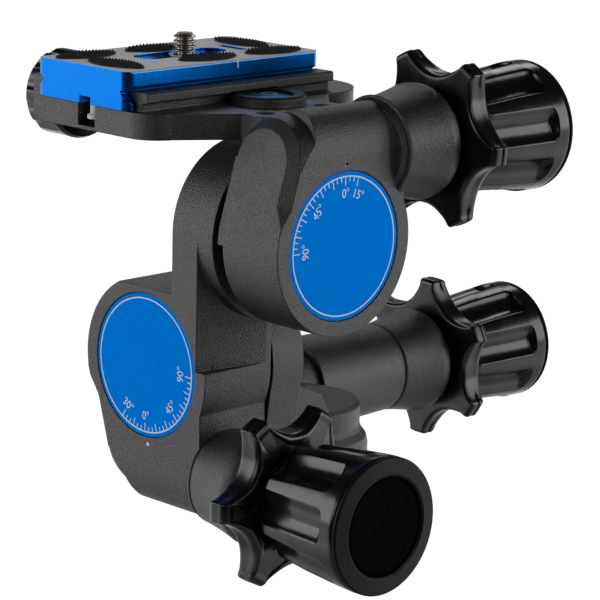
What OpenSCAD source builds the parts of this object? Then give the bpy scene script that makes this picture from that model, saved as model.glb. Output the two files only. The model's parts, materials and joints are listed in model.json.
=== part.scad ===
// Geared tripod head: three worm-driven axes stacked on a round base, with a
// quick-release clamp on top.
// Frame: origin at the centre of the base's underside, +Z up, +Y away from the
// roll dial, +X along the pan and roll knobs.

/* [Base] */
// Radius of the round base plate
base_r = 29.5; // [26:0.5:29.8]
// Thickness of the base plate
base_h = 7; // [6:0.1:7.1]
// Core radius of the 3/8 inch thread in the base
tripod_thread_r = 4; // [3.9:0.05:4.1]

/* [Gear units] */
// Radius of the round half of each gear housing
housing_r = 24; // [23.6:0.1:24.2]
// Outer radius of the worm tube on each gear housing
tube_r = 12.5; // [12:0.1:12.9]
// Worm axis behind the dial face
worm_depth = 9.2; // [9:0.1:9.6]
// Lean of the housing side that is away from the knob, in degrees
side_lean = 17; // [12:1:20]
// Wheel axis to worm axis in the pan unit
pan_centres = 23.6; // [23:0.1:24]
// Wheel axis to worm axis in the tilt unit
tilt_centres = 27.7; // [27:0.1:28]
// Wheel axis to worm axis in the roll unit
roll_centres = 22.8; // [22.4:0.1:23.4]
// Depth of the pan housing
pan_depth = 25.8; // [25:0.1:26]
// Depth of the tilt housing
tilt_depth = 23.6; // [23:0.1:23.8]
// Depth of the roll housing
roll_depth = 22.3; // [22:0.1:23]
// Teeth on each worm wheel
wheel_teeth = 48; // [40:1:60]
// Width of each worm wheel
wheel_w = 8; // [6:0.5:8.5]
// Outer radius of the worms
worm_r = 6.9; // [6.6:0.1:7.1]
// Radius of the hinge shafts
shaft_r = 8; // [7:0.5:8.5]

/* [Dials] */
// Radius of the dials
dial_r = 19.7; // [18.5:0.1:20.4]
// Thickness of the dials
dial_t = 1; // [0.8:0.1:1.2]

/* [Layout] */
// Height of the tilt axis
tilt_z = 47.5; // [47:0.5:48]
// Dial face of the tilt unit, left of the pan axis
tilt_face_x = 57; // [57:0.5:58]
// Height of the roll axis
roll_z = 85.3; // [85:0.1:85.8]
// Roll axis, left of the pan axis
roll_axis_x = 33; // [32.8:0.1:33]
// Dial face of the roll unit, in front of the pan axis
roll_face_y = 50.4; // [50:0.1:50.6]
// Thickness of the arm's knuckle
arm_t = 15.6; // [15:0.1:16.4]
// Chamfer of the leaning side, across the dial face
chamfer_w = 2; // [1:0.1:2.4]
// Chamfer of the leaning side, down the side
chamfer_d = 3.6; // [2:0.1:4]
// Top of the plate
top_z = 128.3; // [128.1:0.1:129.3]
// Centre of the plate, behind the pan axis
plate_y = 14; // [13:0.5:15]

/* [Knobs] */
// Pan axis to the end of the pan neck
pan_neck_end = 75.3; // [73:0.1:78]
// Tilt axis to the end of the tilt neck
tilt_neck_end = 41.3; // [40.6:0.1:43]
// Roll axis to the end of the roll neck
roll_neck_end = 38.7; // [38.2:0.1:41]
// Length of the flared collar of each neck
collar_l = 19; // [17.5:0.5:19]
// End of the pan housing's worm tube, from the pan axis
pan_tube_end = 21; // [20:0.5:24]
// Radius of the collar where it meets the tube
collar_r1 = 13.2; // [12.8:0.1:13.8]
// Radius of the collar at its end
collar_r2 = 16; // [15.5:0.1:16.5]
// Radius of the release rings to the lobe tips
ring_tip_r = 24.6; // [23.5:0.1:24.8]
// Radius of the release rings at the valleys
ring_valley_r = 17.8; // [17:0.1:19]
// Thickness of the release rings
ring_t = 8; // [7:0.1:8.4]
// Lobes on each release ring
ring_lobes = 6; // [6:1:8]
// Length of each grip with its end ring
grip_l = 31.4; // [28:0.1:34]
// Radius of the grips
grip_r = 18.2; // [17.9:0.1:18.5]
// Flutes around each grip
grip_flutes = 8; // [6:1:9]
// Radius of the black disc in the end of each grip
cap_r = 13.2; // [12:0.1:14]
// Turn of the flutes of the pan grip, in degrees
pan_flute_turn = 10.5; // [0:0.5:45]
// Turn of the flutes of the tilt grip, in degrees
tilt_flute_turn = 16; // [0:0.5:45]
// Turn of the flutes of the roll grip, in degrees
roll_flute_turn = 12.5; // [0:0.5:45]

/* [Clamp and plate] */
// Length of the plate
plate_l = 70; // [60:1:70]
// Width of the plate
plate_w = 37; // [36.5:0.1:37.4]
// Height of the plate
plate_h = 10.3; // [10:0.1:10.8]
// Underside of the clamp base
clamp_z = 111; // [110.6:0.1:111.2]
// Radius of the clamp knob
clamp_knob_r = 12; // [11:0.1:12.4]
// Length of the clamp knob
clamp_knob_l = 14.5; // [12:0.5:16]
// Radius of the spirit level
level_r = 9; // [8:0.1:9.4]
// Outer radius of the 1/4 inch camera screw
screw_r = 3.1; // [3:0.05:3.2]
// Height of the camera screw above the plate
screw_up = 5.6; // [4:0.1:6.5]

/* [Clearances] */
// Gap between a hinge shaft and its bore
run_gap = 0.06; // [0.03:0.01:0.1]
// Gap across a hinge between two castings
face_gap = 1; // [0.6:0.1:1.1]
// Gap around moving trim and sliding pieces
slide_gap = 0.15; // [0.1:0.01:0.3]

/* [Hidden] */
$fn = 96;

black_paint = [0.09, 0.09, 0.10];
satin_black = [0.06, 0.06, 0.065];
gloss_black = [0.03, 0.03, 0.035];
steel = [0.72, 0.73, 0.75];
bronze = [0.72, 0.52, 0.28];
dial_blue = [0.05, 0.38, 0.80];
plate_blue = [0.04, 0.30, 0.78];

// unit frames: x towards the knob, y towards the worm, z out of the dial face
module roll_frame() {
    translate([-roll_axis_x, -roll_face_y, roll_z]) rotate([90, 0, 0]) children();
}
module tilt_frame() {
    translate([-tilt_face_x, 0, tilt_z]) rotate([-90, 0, 90]) mirror([1, 0, 0]) children();
}
module pan_frame() {
    translate([0, 0, base_h + pan_float + pan_depth]) children();
}

// knob frames: z along the knob axis, from the hinge axis outwards
module roll_knob_frame() {
    translate([-roll_axis_x, -roll_face_y + worm_depth, roll_z + roll_centres])
        rotate([0, 90, 0]) children();
}
module tilt_knob_frame() {
    translate([-tilt_face_x + worm_depth, 0, tilt_z - tilt_centres]) rotate([90, 0, 0]) children();
}
module pan_knob_frame() {
    translate([0, pan_centres, base_h + pan_float + pan_depth - worm_depth]) rotate([0, 90, 0]) children();
}

pan_float = 0.4;                             // gap between the base plate and the pan housing
tilt_tube_end = tilt_neck_end - collar_l;    // ends of the worm tubes, towards the knobs
roll_tube_end = roll_neck_end - collar_l;
tube_far = 16.4;                             // end of the pan unit's worm tube, away from the knob
foot_l = 2;                                  // tapered foot at the tube's end
boss_r = 19;                                 // boss around the shaft bore
chamfer_taper = 5.7;                         // run-out of the chamfer, from the tangent point
side_in = 0.05;                              // how deep the leaning side cuts the round half
facet_up = -1.3;                             // centre of the facet's rounded end, from the worm axis
lean_x = housing_r * cos(side_lean);         // point where the leaning side leaves the round half
lean_y = housing_r * sin(side_lean);
neck_room = collar_r1 + 0.9;                 // clear radius around the start of a neck
knob_side = 22;                              // flat side of the housings, towards the knob
wall = 3.4;                                  // front wall of the housings
wheel_gap = 0.5;                             // air around the wheels in their chambers
worm_gap = 0.5;                              // air around the worms in their tunnels
worm_core_r = worm_r - 1.8;
worm_turns = 6;
pan_wheel_w = 4;
pan_drum_r = 18.2;                           // round body of the pan unit around the wheel
pan_foot_r = 20.6;                           // the same, lower down
worm_l = 16.8;
worm_shaft_r = 4;
bush_l = 4.2;
bush_far = 13.4;                             // outer end of the far bush
bush_sink = 1;                               // outer end of the near bush inside the tube
hub_r = 10.4;                                // spigot that carries the release ring
ring_gap = 1.2;                              // dark gap between the collar and the release ring
pan_ring_turn = 33;                          // how far the lobes of each ring are turned
tilt_ring_turn = 30;
roll_ring_turn = 4;
grip_start = ring_gap + ring_t + 0.6;        // from the neck's end to the grip
knob_end = grip_start + grip_l;
cap_t = 1.6;
cap_seat = 2.2;                              // seat of the end disc, behind the knob's end
end_ring_l = 3.6;
end_ring_r = grip_r - 1.2;
spring_r = 13;
drum_t = 11.4;                               // width of the drum that carries the tilt shaft
drum_x = -tilt_face_x + tilt_depth + face_gap;
roll_boss = 1.1;                             // boss on the back of the roll housing
barrel_step = 1.9;                           // the round half is less deep than the rest
arm_front = -roll_face_y + roll_depth + roll_boss + face_gap;   // y of the arm's front face
arm_back = arm_front + arm_t;
plate_z = top_z - plate_h;
floor_z = plate_z - 0.1;                     // channel floor under the plate
clamp_x0 = -roll_axis_x - plate_l / 2 + 0.5;
clamp_x1 = 16;
clamp_front = plate_y - plate_w / 2 - 9.5;
jaw_front = plate_y - plate_w / 2 - 4.5;
jaw_back = plate_y + plate_w / 2 + 5;
jaw_x0 = -roll_axis_x - plate_l / 2 + 3;
jaw_x1 = -roll_axis_x + plate_l / 2 + 1;
lip_z = plate_z + 5;
dove_in = 2.7;                               // depth of the groove along the plate
dove_lo = 1.7;
dove_hi = 4.4;
flange_z = 6.3;
screw_axis_x = -45;
clamp_axis_z = clamp_z + 3.6;
clamp_screw_r = 2.5;
screw_in = plate_y - 10;                     // inner end of the clamp screw
guide_in = 15;                               // length of the guide pins inside the clamp base
far = 60;                                    // reach of cutters beyond a body
level_x = -27;
level_y = jaw_front - 5.6;
level_z = lip_z - 2.5;
pin_x = clamp_x0 + 3.4;
pin_y = plate_y - 1.6;
pin_r = 1.6;
pin_up = 1.4;                                // the pin's tip above the plate's underside
pin_floor = 1;                               // floor of the pin's pocket
pin_travel = 1.8;
pin_pocket_r = 3.4;
notch_w = 4.4;
notch_h = 2;

// ---------- shared shapes ----------

// point in the frame of the leaning side: x into the body, y along the side
function on_side(x, y) = [
    -lean_x + x * cos(side_lean) + y * sin(side_lean),
    lean_y - x * sin(side_lean) + y * cos(side_lean)
];

// outline of a gear housing: round towards -y, leaning side away from the knob
module housing_outline(centres) {
    over = 1;
    circle(r = housing_r);
    polygon([
        on_side(-over, 0),
        on_side(-over, (centres - lean_y - over * sin(side_lean)) / cos(side_lean)),
        [knob_side, centres],
        [knob_side, 0],
        [-lean_x, -lean_y]
    ]);
}

// cross-section of the worm tube: round behind the worm, squeezed in front of it
module tube_section() {
    steps = 24;
    polygon(concat(
        [for (i = [0 : 2 * steps]) let (a = 90 + i * 90 / steps) tube_r * [cos(a), sin(a)]],
        [for (i = [1 : 2 * steps - 1]) let (a = -90 + i * 90 / steps) [worm_depth * cos(a),
            tube_r * sin(a)]]
    ));
}

// what the leaning side takes off a body, in the frame of the side: everything beyond
// the plane, a chamfer along its front edge, and a cone around its rounded end
module side_cut(reach, depth) {
    slope = chamfer_d / chamfer_w;
    facet_r = (depth - chamfer_d) / 2 + 0.3;
    facet_z = -chamfer_d - facet_r;
    end_in = 6;
    end_round = 2.2;
    end_slope = 0.55;
    translate([-30, -5, -60]) cube([30, 80, 80]);
    // chamfer, running out towards the tangent point
    n = [-chamfer_taper * chamfer_d, chamfer_w * chamfer_d, chamfer_w * chamfer_taper];
    intersection() {
        translate([0, -5, 0]) rotate([-90, 0, 0]) linear_extrude(reach + 8)
            polygon([[-1, -1], [chamfer_w + 1 / slope, -1], [-1, chamfer_d + slope]]);
        rotate([0, acos(n[2] / norm(n)), atan2(n[1], n[0])]) translate([-far, -far, 0])
            cube([2 * far, 2 * far, far]);
    }
    // rounded end, steep around the facet and shallow towards the tube
    translate([0, reach, facet_z]) difference() {
        translate([-20, 0, -40]) cube([20 + end_in - 0.3, 40, 80]);
        translate([-2, 0, 0]) rotate([0, 90, 0]) intersection() {
            cylinder(r1 = facet_r - 2 * slope, r2 = facet_r + end_in * slope, h = end_in + 2);
            cylinder(
                r1 = facet_r + end_round - 2 * end_slope,
                r2 = facet_r + end_round + end_in * end_slope,
                h = end_in + 2
            );
        }
    }
}

// solid body of a gear unit, dial face at z = 0
module housing_body(centres, depth, tube_end) {
    difference() {
        union() {
            translate([0, 0, -depth]) linear_extrude(depth) housing_outline(centres);
            // worm tube, and the round foot that the neck stands on
            translate([-housing_r, centres, -worm_depth]) rotate([90, 0, 90]) rotate([0, 0, 90])
                linear_extrude(housing_r + tube_end + 1) tube_section();
            translate([tube_end - foot_l, centres, -worm_depth]) rotate([0, 90, 0])
                cylinder(r1 = tube_r - 0.7, r2 = collar_r1 + (collar_r1 - tube_r + 0.7) / foot_l,
                    h = foot_l + 1);
        }
        // back of the tube stays within the depth of the housing
        translate([-far, -far, -depth - 20]) cube([2 * far, 2 * far, 20]);
        // room for the neck
        translate([tube_end, centres, -worm_depth]) rotate([0, 90, 0]) cylinder(r = neck_room, h = 20);
        translate([-lean_x, lean_y, 0]) rotate([0, 0, -side_lean]) translate([side_in, 0, 0])
            side_cut((centres + facet_up - lean_y) / cos(side_lean), depth);
        // shallower round half
        translate([0, 0, -depth - 1]) difference() {
            translate([-40, -40, 0]) cube([80, 40, 1 + barrel_step]);
            translate([0, 0, -1]) cylinder(r = boss_r, h = 3 + barrel_step);
        }
    }
}

// chamber for the wheel, tunnel for the worm, bore for the shaft, seat for the dial
module housing_hollows(centres, depth, tube_end) {
    wheel_r = centres - worm_r - 0.2;
    translate([0, 0, -dial_t - 0.3]) cylinder(r = dial_r + slide_gap, h = 5);
    translate([0, 0, -worm_depth - wheel_w / 2 - wheel_gap])
        cylinder(r = wheel_r + wheel_gap, h = wheel_w + 2 * wheel_gap);
    translate([0, 0, -depth - 1]) cylinder(r = shaft_r + run_gap, h = depth + 1);
    translate([-bush_far, centres, -worm_depth]) rotate([0, 90, 0])
        cylinder(r = worm_r + worm_gap, h = bush_far + tube_end + 1);
}

// worm wheel with straight flanks, centred on z = 0
module worm_wheel(outer, width) {
    root = outer - 1.7;
    recess = width * 0.15;
    step = 360 / wheel_teeth;
    difference() {
        translate([0, 0, -width / 2]) linear_extrude(width)
            polygon([for (i = [0 : wheel_teeth - 1])
                for (p = [[-0.32, root], [-0.14, outer], [0.14, outer], [0.32, root]])
                p[1] * [cos((i + p[0]) * step), sin((i + p[0]) * step)]]);
        translate([0, 0, -width]) cylinder(r = shaft_r, h = 2 * width);
        for (side = [-1, 1]) translate([0, 0, side * width / 2 - recess]) difference() {
            cylinder(r = root - 2, h = 2 * recess);
            translate([0, 0, -1]) cylinder(r = shaft_r + 2, h = 5);
        }
    }
}

// worm and its shaft along z, worm centred on z = 0, knob end at z = reach
module worm(reach) {
    pitch = worm_l / (worm_turns + 0.5);
    half = worm_l / 2;
    rotate_extrude()
        polygon(concat(
            [[0, -bush_far + 0.4], [worm_shaft_r, -bush_far + 0.4], [worm_shaft_r, -half - 0.3],
                [worm_core_r, -half + 0.2]],
            [for (i = [0 : worm_turns - 1])
                for (p = [[worm_core_r, 0.25], [worm_r, 0.62], [worm_r, 0.88], [worm_core_r, 1.25]])
                [p[0], -half + 0.3 + (i + p[1] - 0.25) * pitch]],
            [[worm_core_r, half - 0.3], [worm_shaft_r, half + 0.3], [worm_shaft_r, reach - 0.6],
                [worm_shaft_r - 0.6, reach], [0, reach]]
        ));
}

module bushes(tube_end) {
    for (z = [-bush_far, tube_end - bush_sink - bush_l]) translate([0, 0, z]) difference() {
        cylinder(r = worm_r + worm_gap, h = bush_l);
        translate([0, 0, -1]) cylinder(r = worm_shaft_r + run_gap, h = bush_l + 2);
    }
}

// neck: plain tube up to the collar, then the flared collar and the spigot
module neck(start, end) {
    seam = end - collar_l;
    bore = worm_r + worm_gap;
    foot = collar_r1 + (seam > start ? 1.2 : 0);
    rotate_extrude()
        polygon([
            [bore, start], [foot, start],
            [collar_r1, seam - (seam > start ? 0.6 : 0)],
                [collar_r1 - 0.6, seam - (seam > start ? 0.3 : 0)],
            [collar_r1 - 0.6, seam + 0.3], [collar_r1 + 0.2, seam + 0.6],
            [collar_r1 + 1.3, seam + collar_l * 0.35], [collar_r2 - 0.5, seam + collar_l * 0.7],
            [collar_r2, end - 2], [collar_r2 - 0.3, end - 0.6], [collar_r2 - 1.6, end],
            [hub_r, end], [hub_r, end + grip_start - 0.4], [bore, end + grip_start - 0.4]
        ]);
}

// six-lobed release ring, back face at z = 0
module release_ring() {
    valley_c = 30;
    difference() {
        cylinder(r = ring_tip_r, h = ring_t);
        for (i = [0 : ring_lobes - 1]) rotate(i * 360 / ring_lobes) translate([valley_c, 0, -1])
            cylinder(r = valley_c - ring_valley_r, h = ring_t + 2);
        translate([0, 0, -1]) cylinder(r = hub_r + 0.1, h = ring_t + 2);
        // pocket for the return spring
        translate([0, 0, -1]) difference() {
            cylinder(r = spring_r + 1.5, h = 4.4);
            translate([0, 0, -1]) cylinder(r = spring_r - 1.5, h = 6.4);
        }
        // dished front face
        translate([0, 0, ring_t]) rotate_extrude()
            polygon([[ring_valley_r - 1, 0.1], [ring_tip_r + 3, 0.1], [ring_tip_r + 3, -3]]);
    }
}

// flat return spring of a release ring, in the ring's pocket
module release_spring() {
    for (z = [0.9, 2.1]) translate([0, 0, z]) rotate_extrude() translate([spring_r, 0])
        circle(r = 0.5, $fn = 24);
    translate([spring_r - 0.3, 0, -0.4]) cylinder(r = 0.45, h = 1.1, $fn = 24);
}

// fluted grip, swelling towards the end, back face at z = 0
module grip(turn) {
    body_l = grip_l - end_ring_l;
    depth = 2.5;
    flute_r = 6.4;
    flute_end = body_l - 6;
    difference() {
        rotate_extrude()
            polygon([[worm_shaft_r, 0.4], [grip_r - 5, 0], [grip_r - 3.4, 0.6], [grip_r - 2.5, 2.4],
                [grip_r - 1.7, 6], [grip_r - 0.9, 11],
                [grip_r - 0.3, 16.5], [grip_r, 21.5], [grip_r, body_l - 3.6],
                    [grip_r - 0.3, body_l - 1.7], [grip_r - 0.9, body_l - 0.5], [grip_r - 1.6, body_l],
                    [worm_shaft_r, body_l]]);
        for (i = [0 : grip_flutes - 1]) rotate(turn + (i + 0.5) * 360 / grip_flutes)
            translate([grip_r + flute_r - depth, 0, 0]) {
            translate([0, 0, -1]) cylinder(r = flute_r, h = flute_end - flute_r / 2 + 1);
            translate([0, 0, flute_end - flute_r / 2]) sphere(r = flute_r);
        }
    }
}

// satin end ring of a grip, z from the grip's back face
module end_ring() {
    z0 = grip_l - end_ring_l;
    rotate_extrude()
        polygon([[worm_shaft_r, z0], [end_ring_r - 0.5, z0], [end_ring_r - 0.5, z0 + 0.4],
            [end_ring_r, z0 + 0.7], [end_ring_r - 0.1, z0 + 1.6],
            [end_ring_r - 0.6, grip_l - 1], [end_ring_r - 1.5, grip_l - 0.2], [end_ring_r - 2.2, grip_l],
            [cap_r + 0.5, grip_l], [cap_r, grip_l - 0.5], [cap_r, grip_l - cap_seat],
                [worm_shaft_r, grip_l - cap_seat]]);
}

module end_cap() {
    translate([0, 0, grip_l - cap_seat]) cylinder(r = cap_r, h = cap_t);
}

// ---------- base and pan unit ----------

module base_plate() {
    color(black_paint) difference() {
        rotate_extrude() polygon([[0, 0], [base_r - 0.6, 0], [base_r, 0.6], [base_r, base_h - 1],
            [base_r - 1, base_h], [0, base_h]]);
        translate([0, 0, -1]) cylinder(r = insert_r, h = base_h + 2);
        for (a = base_screw_angles) rotate(a) translate([base_screw_pcr, 0, -1]) {
            cylinder(r = base_screw_r, h = base_h + 2);
            cylinder(r = base_screw_r + 1.3, h = 1 + base_screw_head);
        }
    }
}
insert_r = 7;
base_screw_pcr = 13;
base_screw_r = 1.7;
base_screw_head = 2.4;
base_screw_angles = [45, 135, 225, 315];

module thread_insert() {
    color(steel) difference() {
        cylinder(r = insert_r, h = base_h);
        translate([0, 0, -1]) cylinder(r = tripod_thread_r, h = base_h + 2);
    }
}

module base_screws() {
    color(steel) for (a = base_screw_angles) rotate(a) translate([base_screw_pcr, 0, 0]) difference() {
        union() {
            translate([0, 0, 0.3]) cylinder(r = base_screw_r + 1.1, h = base_screw_head - 0.3);
            translate([0, 0, base_screw_head])
                cylinder(r = base_screw_r, h = base_h + pan_float + 5 - base_screw_head);
        }
        cylinder(r = 1.4, h = 1.6, $fn = 6);
    }
}

pan_wheel_z = base_h + pan_float + pan_depth - worm_depth;
spindle_foot_r = 15.4;

module pan_spindle() {
    color(steel) difference() {
        union() {
            translate([0, 0, base_h]) cylinder(r = spindle_foot_r,
                h = pan_wheel_z - pan_wheel_w / 2 - base_h);
            translate([0, 0, pan_wheel_z - pan_wheel_w / 2]) cylinder(r = shaft_r, h = pan_wheel_w + 1);
        }
        translate([0, 0, base_h - 1]) cylinder(r = tripod_thread_r + 1, h = 6);
        for (a = base_screw_angles) rotate(a) translate([base_screw_pcr, 0, base_h - 1])
            cylinder(r = base_screw_r, h = 1 + pan_float + 5);
    }
}

module pan_wheel() {
    color(bronze) translate([0, 0, pan_wheel_z]) worm_wheel(pan_centres - worm_r - 0.2, pan_wheel_w);
}

module spindle_nut() {
    color(steel) translate([0, 0, pan_wheel_z + pan_wheel_w / 2]) difference() {
        cylinder(r = shaft_r + 2.4, h = 1.1, $fn = 8);
        translate([0, 0, -1]) cylinder(r = shaft_r, h = 4);
    }
}

module pan_housing() {
    z0 = base_h + pan_float;
    top = pan_wheel_z + pan_wheel_w / 2 + 2.6;
    side_x = 17;
    gusset_y = 17;
    color(black_paint) difference() {
        union() {
            rotate_extrude() polygon([
                [0, z0], [pan_foot_r - 0.5, z0], [pan_foot_r, z0 + 0.6], [pan_foot_r, 16.6],
                    [pan_foot_r - 0.5, 18.7], [pan_drum_r + 0.5, 20.6],
                [pan_drum_r, 22], [pan_drum_r, top - 1], [pan_drum_r - 0.8, top], [0, top]
            ]);
            // body under and beside the worm tube
            translate([-side_x, 0, z0]) cube([2 * side_x, pan_centres + 6, pan_wheel_z - z0 - 2]);
            translate([-side_x, 0, pan_wheel_z - 4]) cube([2 * side_x, pan_centres, 7.8]);
            // worm tube
            translate([-tube_far, pan_centres, pan_wheel_z]) rotate([0, 90, 0]) {
                cylinder(r1 = tube_r - 1.6, r2 = tube_r, h = 2);
                translate([0, 0, 1.9]) cylinder(r = tube_r, h = tube_far + pan_tube_end - 1.9);
            }
            // drum that carries the tilt shaft, and the bracket under it
            translate([drum_x, 0, tilt_z]) rotate([0, 90, 0]) cylinder(r = housing_r, h = drum_t);
            translate([drum_x, 0, 0]) rotate([90, 0, 90]) linear_extrude(drum_t) polygon([
                [-14, z0], [14, z0], [17.4, z0 + 1.2], [18.9, z0 + 3.6],
                    [bracket_top_y, tilt_z - bracket_drop],
                [0, tilt_z], [-bracket_top_y, tilt_z - bracket_drop], [-18.9, z0 + 3.6], [-17.4, z0 + 1.2]
            ]);
            // gusset from the drum down onto the round body
            translate([0, gusset_y, 0]) rotate([90, 0, 0]) linear_extrude(2 * gusset_y) polygon([
                [drum_x + 1, z0], [-3, z0], [-3, top - 1.1], [-7, 34.5], [-13, 37],
                    [drum_x + drum_t, 40.2], [drum_x + 1, 40.2]
            ]);
        }
        // thrust ring's seat, bore on the spindle, wheel chamber and room for the nut
        translate([0, 0, base_h]) cylinder(r = thrust_r, h = pan_float + 6);
        translate([0, 0, base_h]) cylinder(r = spindle_foot_r + run_gap, h = pan_wheel_z - base_h);
        translate([0, 0, pan_wheel_z - pan_wheel_w / 2 - 0.4])
            cylinder(r = pan_centres - worm_r - 0.2 + 0.4, h = pan_wheel_w + 0.8);
        translate([0, 0, pan_wheel_z]) cylinder(r = shaft_r + 3.2, h = pan_wheel_w / 2 + 1.4);
        // worm tunnel
        translate([-bush_far, pan_centres, pan_wheel_z]) rotate([0, 90, 0])
            cylinder(r = worm_r + worm_gap, h = bush_far + pan_tube_end + 1);
        // bore for the tilt shaft
        translate([drum_x - 1, 0, tilt_z]) rotate([0, 90, 0]) cylinder(r = shaft_r, h = drum_t - 1);
    }
}
thrust_r = 18.5;
bracket_drop = 5;                            // where the bracket's sides leave the drum, below its axis
bracket_top_y = sqrt(housing_r * housing_r - bracket_drop * bracket_drop) - 0.1;

module thrust_ring() {
    color(bronze) translate([0, 0, base_h + pan_float]) difference() {
        cylinder(r = thrust_r, h = 6);
        translate([0, 0, -1]) cylinder(r = spindle_foot_r + run_gap, h = 8);
    }
}

module pan_neck() {
    color(satin_black) pan_knob_frame() neck(pan_tube_end, pan_neck_end);
}
module pan_bushes() {
    color(bronze) pan_knob_frame() bushes(pan_tube_end);
}

// ---------- tilt unit ----------

module tilt_shaft() {
    color(steel) translate([-tilt_face_x + dial_t + 0.2, 0, tilt_z]) rotate([0, 90, 0])
        cylinder(r = shaft_r, h = drum_x + drum_t - 2 + tilt_face_x - dial_t - 0.2);
}

module tilt_wheel() {
    color(bronze) tilt_frame() translate([0, 0, -worm_depth]) worm_wheel(tilt_centres - worm_r - 0.2,
        wheel_w);
}

module dial() {
    translate([0, 0, -dial_t - 0.2]) cylinder(r = dial_r, h = dial_t + 0.1);
}

module tilt_dial() {
    color(dial_blue) tilt_frame() dial();
}

module tilt_housing() {
    back = -tilt_face_x + tilt_depth;
    ledge = 21.5;
    arm_side = 20.2;
    color(black_paint) difference() {
        union() {
            difference() {
                union() {
                    tilt_frame() housing_body(tilt_centres, tilt_depth, tilt_tube_end);
                    // arm
                    translate([0, arm_back, 0]) rotate([90, 0, 0]) linear_extrude(arm_back + housing_r)
                        polygon([
                        [-tilt_face_x, tilt_z], [-tilt_face_x, roll_z], [-roll_axis_x, roll_z],
                            [back, roll_z - 6], [back, tilt_z]
                    ]);
                }
                // flat ledge beside the arm
                translate([-tilt_face_x - 1, arm_back, tilt_z + ledge]) cube([tilt_depth + 2, 40, 20]);
                // slanted side of the arm and the housing, above the vertex
                translate([0, 0, tilt_z + 2]) linear_extrude(60) polygon([
                    [-tilt_face_x - 4, -arm_side + 0.7], [back + 4, -housing_r - 1], [back + 4, -60],
                        [-tilt_face_x - 4, -60]
                ]);
            }
            // round knuckle
            translate([-roll_axis_x, arm_back, roll_z]) rotate([90, 0, 0])
                cylinder(r = housing_r, h = arm_t);
        }
        tilt_frame() housing_hollows(tilt_centres, tilt_depth, tilt_tube_end);
        // relief around the drum of the pan housing
        translate([back, 0, tilt_z]) rotate([0, 90, 0]) cylinder(r = housing_r + face_gap, h = far);
        // bore for the roll shaft
        translate([-roll_axis_x, arm_back - 3, roll_z]) rotate([90, 0, 0]) cylinder(r = shaft_r, h = arm_t);
    }
}

module tilt_neck() {
    color(satin_black) tilt_knob_frame() neck(tilt_tube_end, tilt_neck_end);
}
module tilt_bushes() {
    color(bronze) tilt_knob_frame() bushes(tilt_tube_end);
}

// ---------- roll unit ----------

module roll_shaft() {
    color(steel) translate([-roll_axis_x, arm_back - 3.2, roll_z]) rotate([90, 0, 0])
        cylinder(r = shaft_r, h = roll_face_y + arm_back - 3.2 - dial_t - 0.2);
}

module roll_wheel() {
    color(bronze) roll_frame() translate([0, 0, -worm_depth]) worm_wheel(roll_centres - worm_r - 0.2,
        wheel_w);
}

module roll_dial() {
    color(dial_blue) roll_frame() dial();
}

module roll_housing() {
    color(black_paint) difference() {
        roll_frame() union() {
            housing_body(roll_centres, roll_depth, roll_tube_end);
            translate([0, 0, -roll_depth - roll_boss]) cylinder(r = boss_r, h = roll_boss + 2);
        }
        roll_frame() housing_hollows(roll_centres, roll_depth + roll_boss, roll_tube_end);
        // room for the clamp base behind the worm tube
        translate([web_x0 - 0.2, web_y, clamp_z]) cube([2 * far, far, far]);
    }
}
web_y = -roll_face_y + worm_depth + 9;       // face where the clamp base meets the roll housing
web_x0 = -roll_axis_x - 12.6;
web_x1 = -roll_axis_x + roll_tube_end - 0.3;

module roll_neck() {
    color(satin_black) roll_knob_frame() neck(roll_tube_end, roll_neck_end);
}
module roll_bushes() {
    color(bronze) roll_knob_frame() bushes(roll_tube_end);
}

// ---------- clamp ----------

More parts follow.
